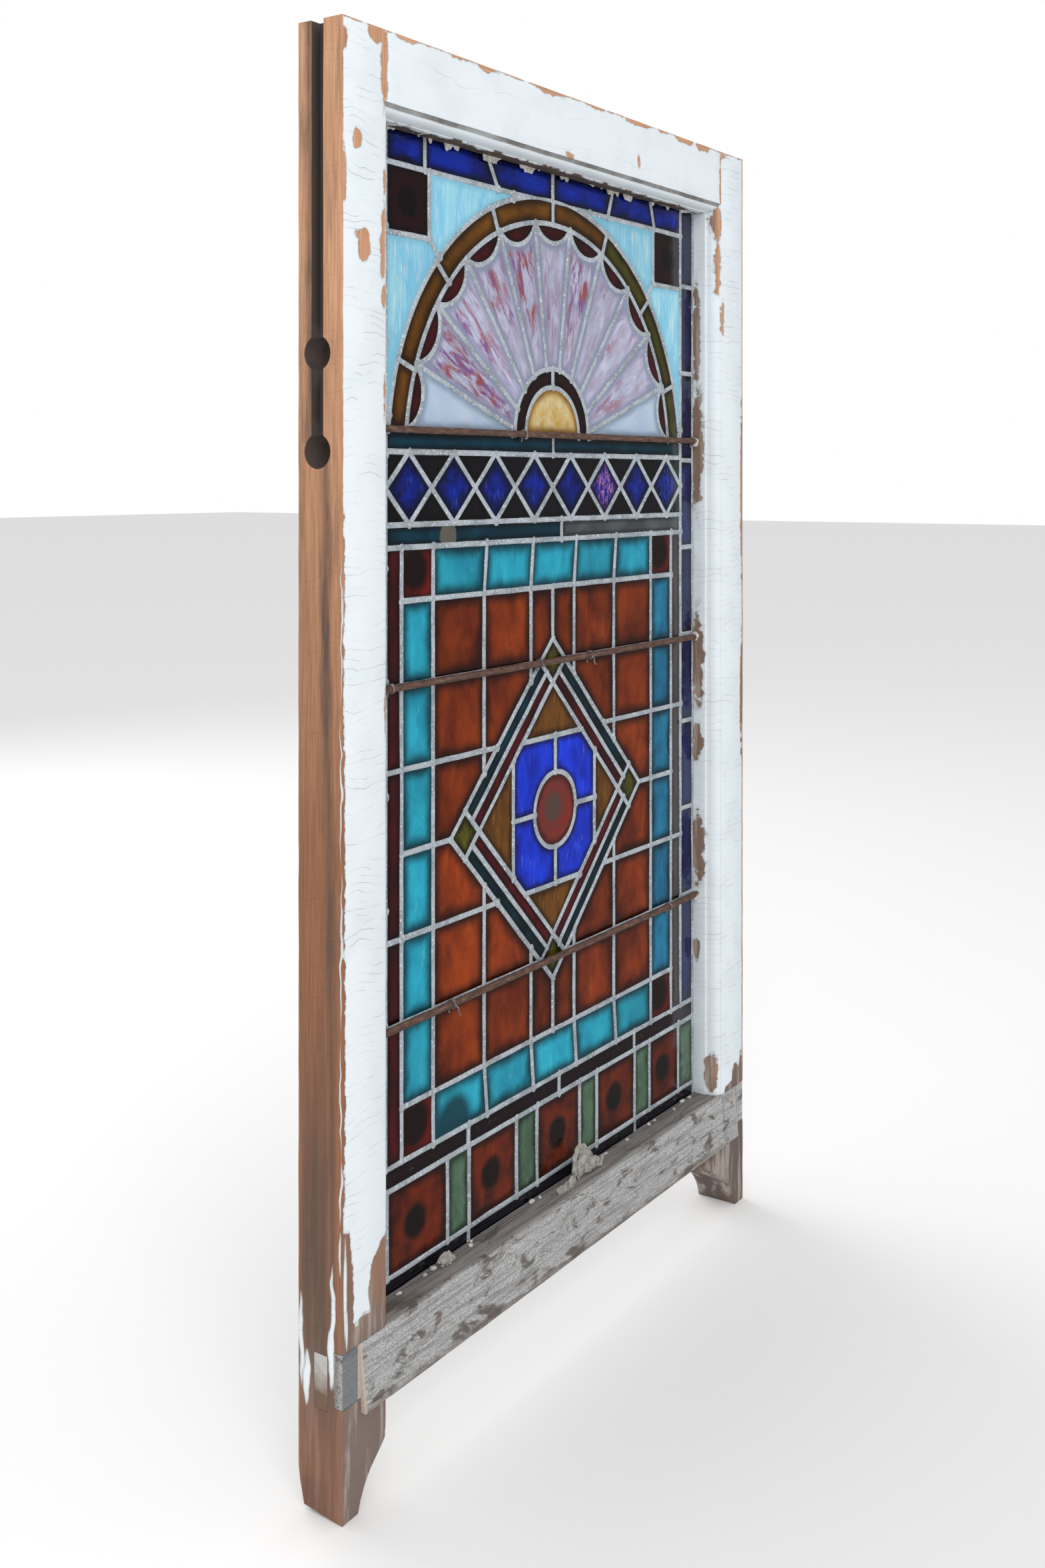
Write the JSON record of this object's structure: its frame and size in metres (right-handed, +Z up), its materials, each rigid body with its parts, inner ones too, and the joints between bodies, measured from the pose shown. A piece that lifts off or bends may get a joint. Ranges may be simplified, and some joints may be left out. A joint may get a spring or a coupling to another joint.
{
  "type": "stained glass window",
  "caption": "Upright leaded stained glass panel with a sunburst arch over a lozenge, held by saddle bars in an old painted timber sash with horns and cord grooves.",
  "frame": {"origin": "on the back face of the top rail, at its middle, where the window is fixed", "axes": "+Z up along the stiles, +Y out of the back face, so the room side faces -Y, and +X to the right as seen from the room"},
  "size_m": [0.772, 0.0575, 1.317],
  "materials": {
    "painted_pine": "worn white oil paint",
    "weathered_pine": "bare, weathered grey",
    "lead": "dull grey lead, soldered joints",
    "iron": "rust brown",
    "putty": "dry, chalky",
    "lavender_glass": "streaky",
    "yellow_glass": "streaky",
    "maroon_glass": "dark, rippled",
    "sky_glass": "rippled",
    "blue_glass": "streaky",
    "amber_glass": "reeded",
    "red_glass": "rippled",
    "teal_glass": "dark, smooth",
    "olive_glass": "rippled",
    "bullseye_glass": "crown glass centre",
    "turquoise_glass": "rippled"
  },
  "bodies": {
    "root": {"amber_bottom": "amber_glass", "amber_left": "amber_glass", "amber_right": "amber_glass", "amber_top": "amber_glass", "blue_lower_left": "blue_glass", "blue_lower_right": "blue_glass", "blue_upper_left": "blue_glass", "blue_upper_right": "blue_glass", "bullseye_1": "bullseye_glass", "bullseye_2": "bullseye_glass", "bullseye_3": "bullseye_glass", "bullseye_4": "bullseye_glass", "bullseye_5": "bullseye_glass", "corner_square_left": "maroon_glass", "corner_square_right": "maroon_glass", "glazing_putty": "putty", "inner_arch_left": "maroon_glass", "inner_arch_right": "maroon_glass", "lead_net": "lead", "left_stile": "painted_pine", "lozenge_corner_bottom": "olive_glass", "lozenge_corner_left": "olive_glass", "lozenge_corner_right": "olive_glass", "lozenge_corner_top": "olive_glass", "lozenge_red_lower_left": "red_glass", "lozenge_red_lower_right": "red_glass", "lozenge_red_upper_left": "red_glass", "lozenge_red_upper_right": "red_glass", "lozenge_teal_lower_left": "teal_glass", "lozenge_teal_lower_right": "teal_glass", "lozenge_teal_upper_left": "teal_glass", "lozenge_teal_upper_right": "teal_glass", "meeting_rail": "weathered_pine", "petal_01": "lavender_glass", "petal_02": "lavender_glass", "petal_03": "lavender_glass", "petal_04": "lavender_glass", "petal_05": "lavender_glass", "petal_06": "lavender_glass", "petal_07": "lavender_glass", "petal_08": "lavender_glass", "petal_09": "lavender_glass", "petal_10": "lavender_glass", "petal_11": "lavender_glass", "right_stile": "painted_pine", "roundel": "red_glass", "saddle_bar_lower": "iron", "saddle_bar_middle": "iron", "saddle_bar_top": "iron", "spandrel_side_left": "sky_glass", "spandrel_side_right": "sky_glass", "spandrel_upper_left": "sky_glass", "spandrel_upper_right": "sky_glass", "sun_glass": "yellow_glass", "top_rail": "painted_pine", "turquoise_top_1": "turquoise_glass", "turquoise_top_2": "turquoise_glass", "turquoise_top_3": "turquoise_glass", "turquoise_top_4": "turquoise_glass", "turquoise_top_5": "turquoise_glass"}
  },
  "joints": []
}
